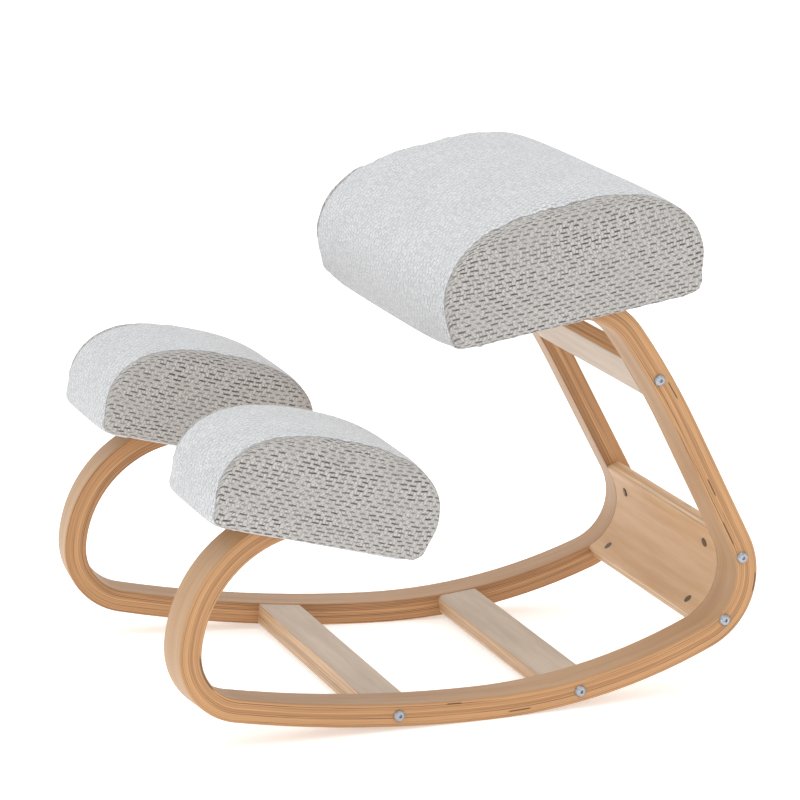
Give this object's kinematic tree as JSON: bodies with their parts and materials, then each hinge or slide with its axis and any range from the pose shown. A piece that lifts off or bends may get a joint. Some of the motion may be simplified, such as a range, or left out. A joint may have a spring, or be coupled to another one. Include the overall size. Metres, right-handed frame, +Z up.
{
  "type": "rocking kneeling chair",
  "caption": "Rocking kneeling chair: bent laminated wood rails curve up from floor runners to two knee pads and a rear seat cushion, joined by wooden cross members.",
  "frame": {"origin": "on the floor, at the middle of the chair's length and width", "axes": "+Z up, the sitter and the knee pads face -Y, +Y towards the back, +X is the sitter's left side"},
  "size_m": [0.6326, 0.6737, 0.5602],
  "materials": {
    "laminated_strip": "satin",
    "cross_member_ply": "satin",
    "board_ply": "raw",
    "dowel_wood": "raw",
    "pad_foam": "matte",
    "cover_fabric": "matte",
    "zinc_steel": "satin"
  },
  "bodies": {
    "root": {"left_rail": "laminated_strip", "right_rail": "laminated_strip", "front_slat": "cross_member_ply", "middle_slat": "cross_member_ply", "top_brace": "cross_member_ply", "back_brace": "cross_member_ply", "front_slat_screws": "zinc_steel", "front_slat_barrel_nuts": "zinc_steel", "front_slat_dowels": "dowel_wood", "middle_slat_screws": "zinc_steel", "middle_slat_barrel_nuts": "zinc_steel", "middle_slat_dowels": "dowel_wood", "top_brace_screws": "zinc_steel", "top_brace_barrel_nuts": "zinc_steel", "top_brace_dowels": "dowel_wood", "back_brace_screws": "zinc_steel", "back_brace_barrel_nuts": "zinc_steel", "seat_board": "board_ply", "seat_foam": "pad_foam", "seat_cover": "cover_fabric", "seat_screws": "zinc_steel", "seat_washers": "zinc_steel", "seat_tee_nuts": "zinc_steel", "left_knee_board": "board_ply", "left_knee_foam": "pad_foam", "left_knee_cover": "cover_fabric", "left_knee_screws": "zinc_steel", "left_knee_washers": "zinc_steel", "left_knee_tee_nuts": "zinc_steel", "right_knee_board": "board_ply", "right_knee_foam": "pad_foam", "right_knee_cover": "cover_fabric", "right_knee_screws": "zinc_steel", "right_knee_washers": "zinc_steel", "right_knee_tee_nuts": "zinc_steel"}
  },
  "joints": []
}
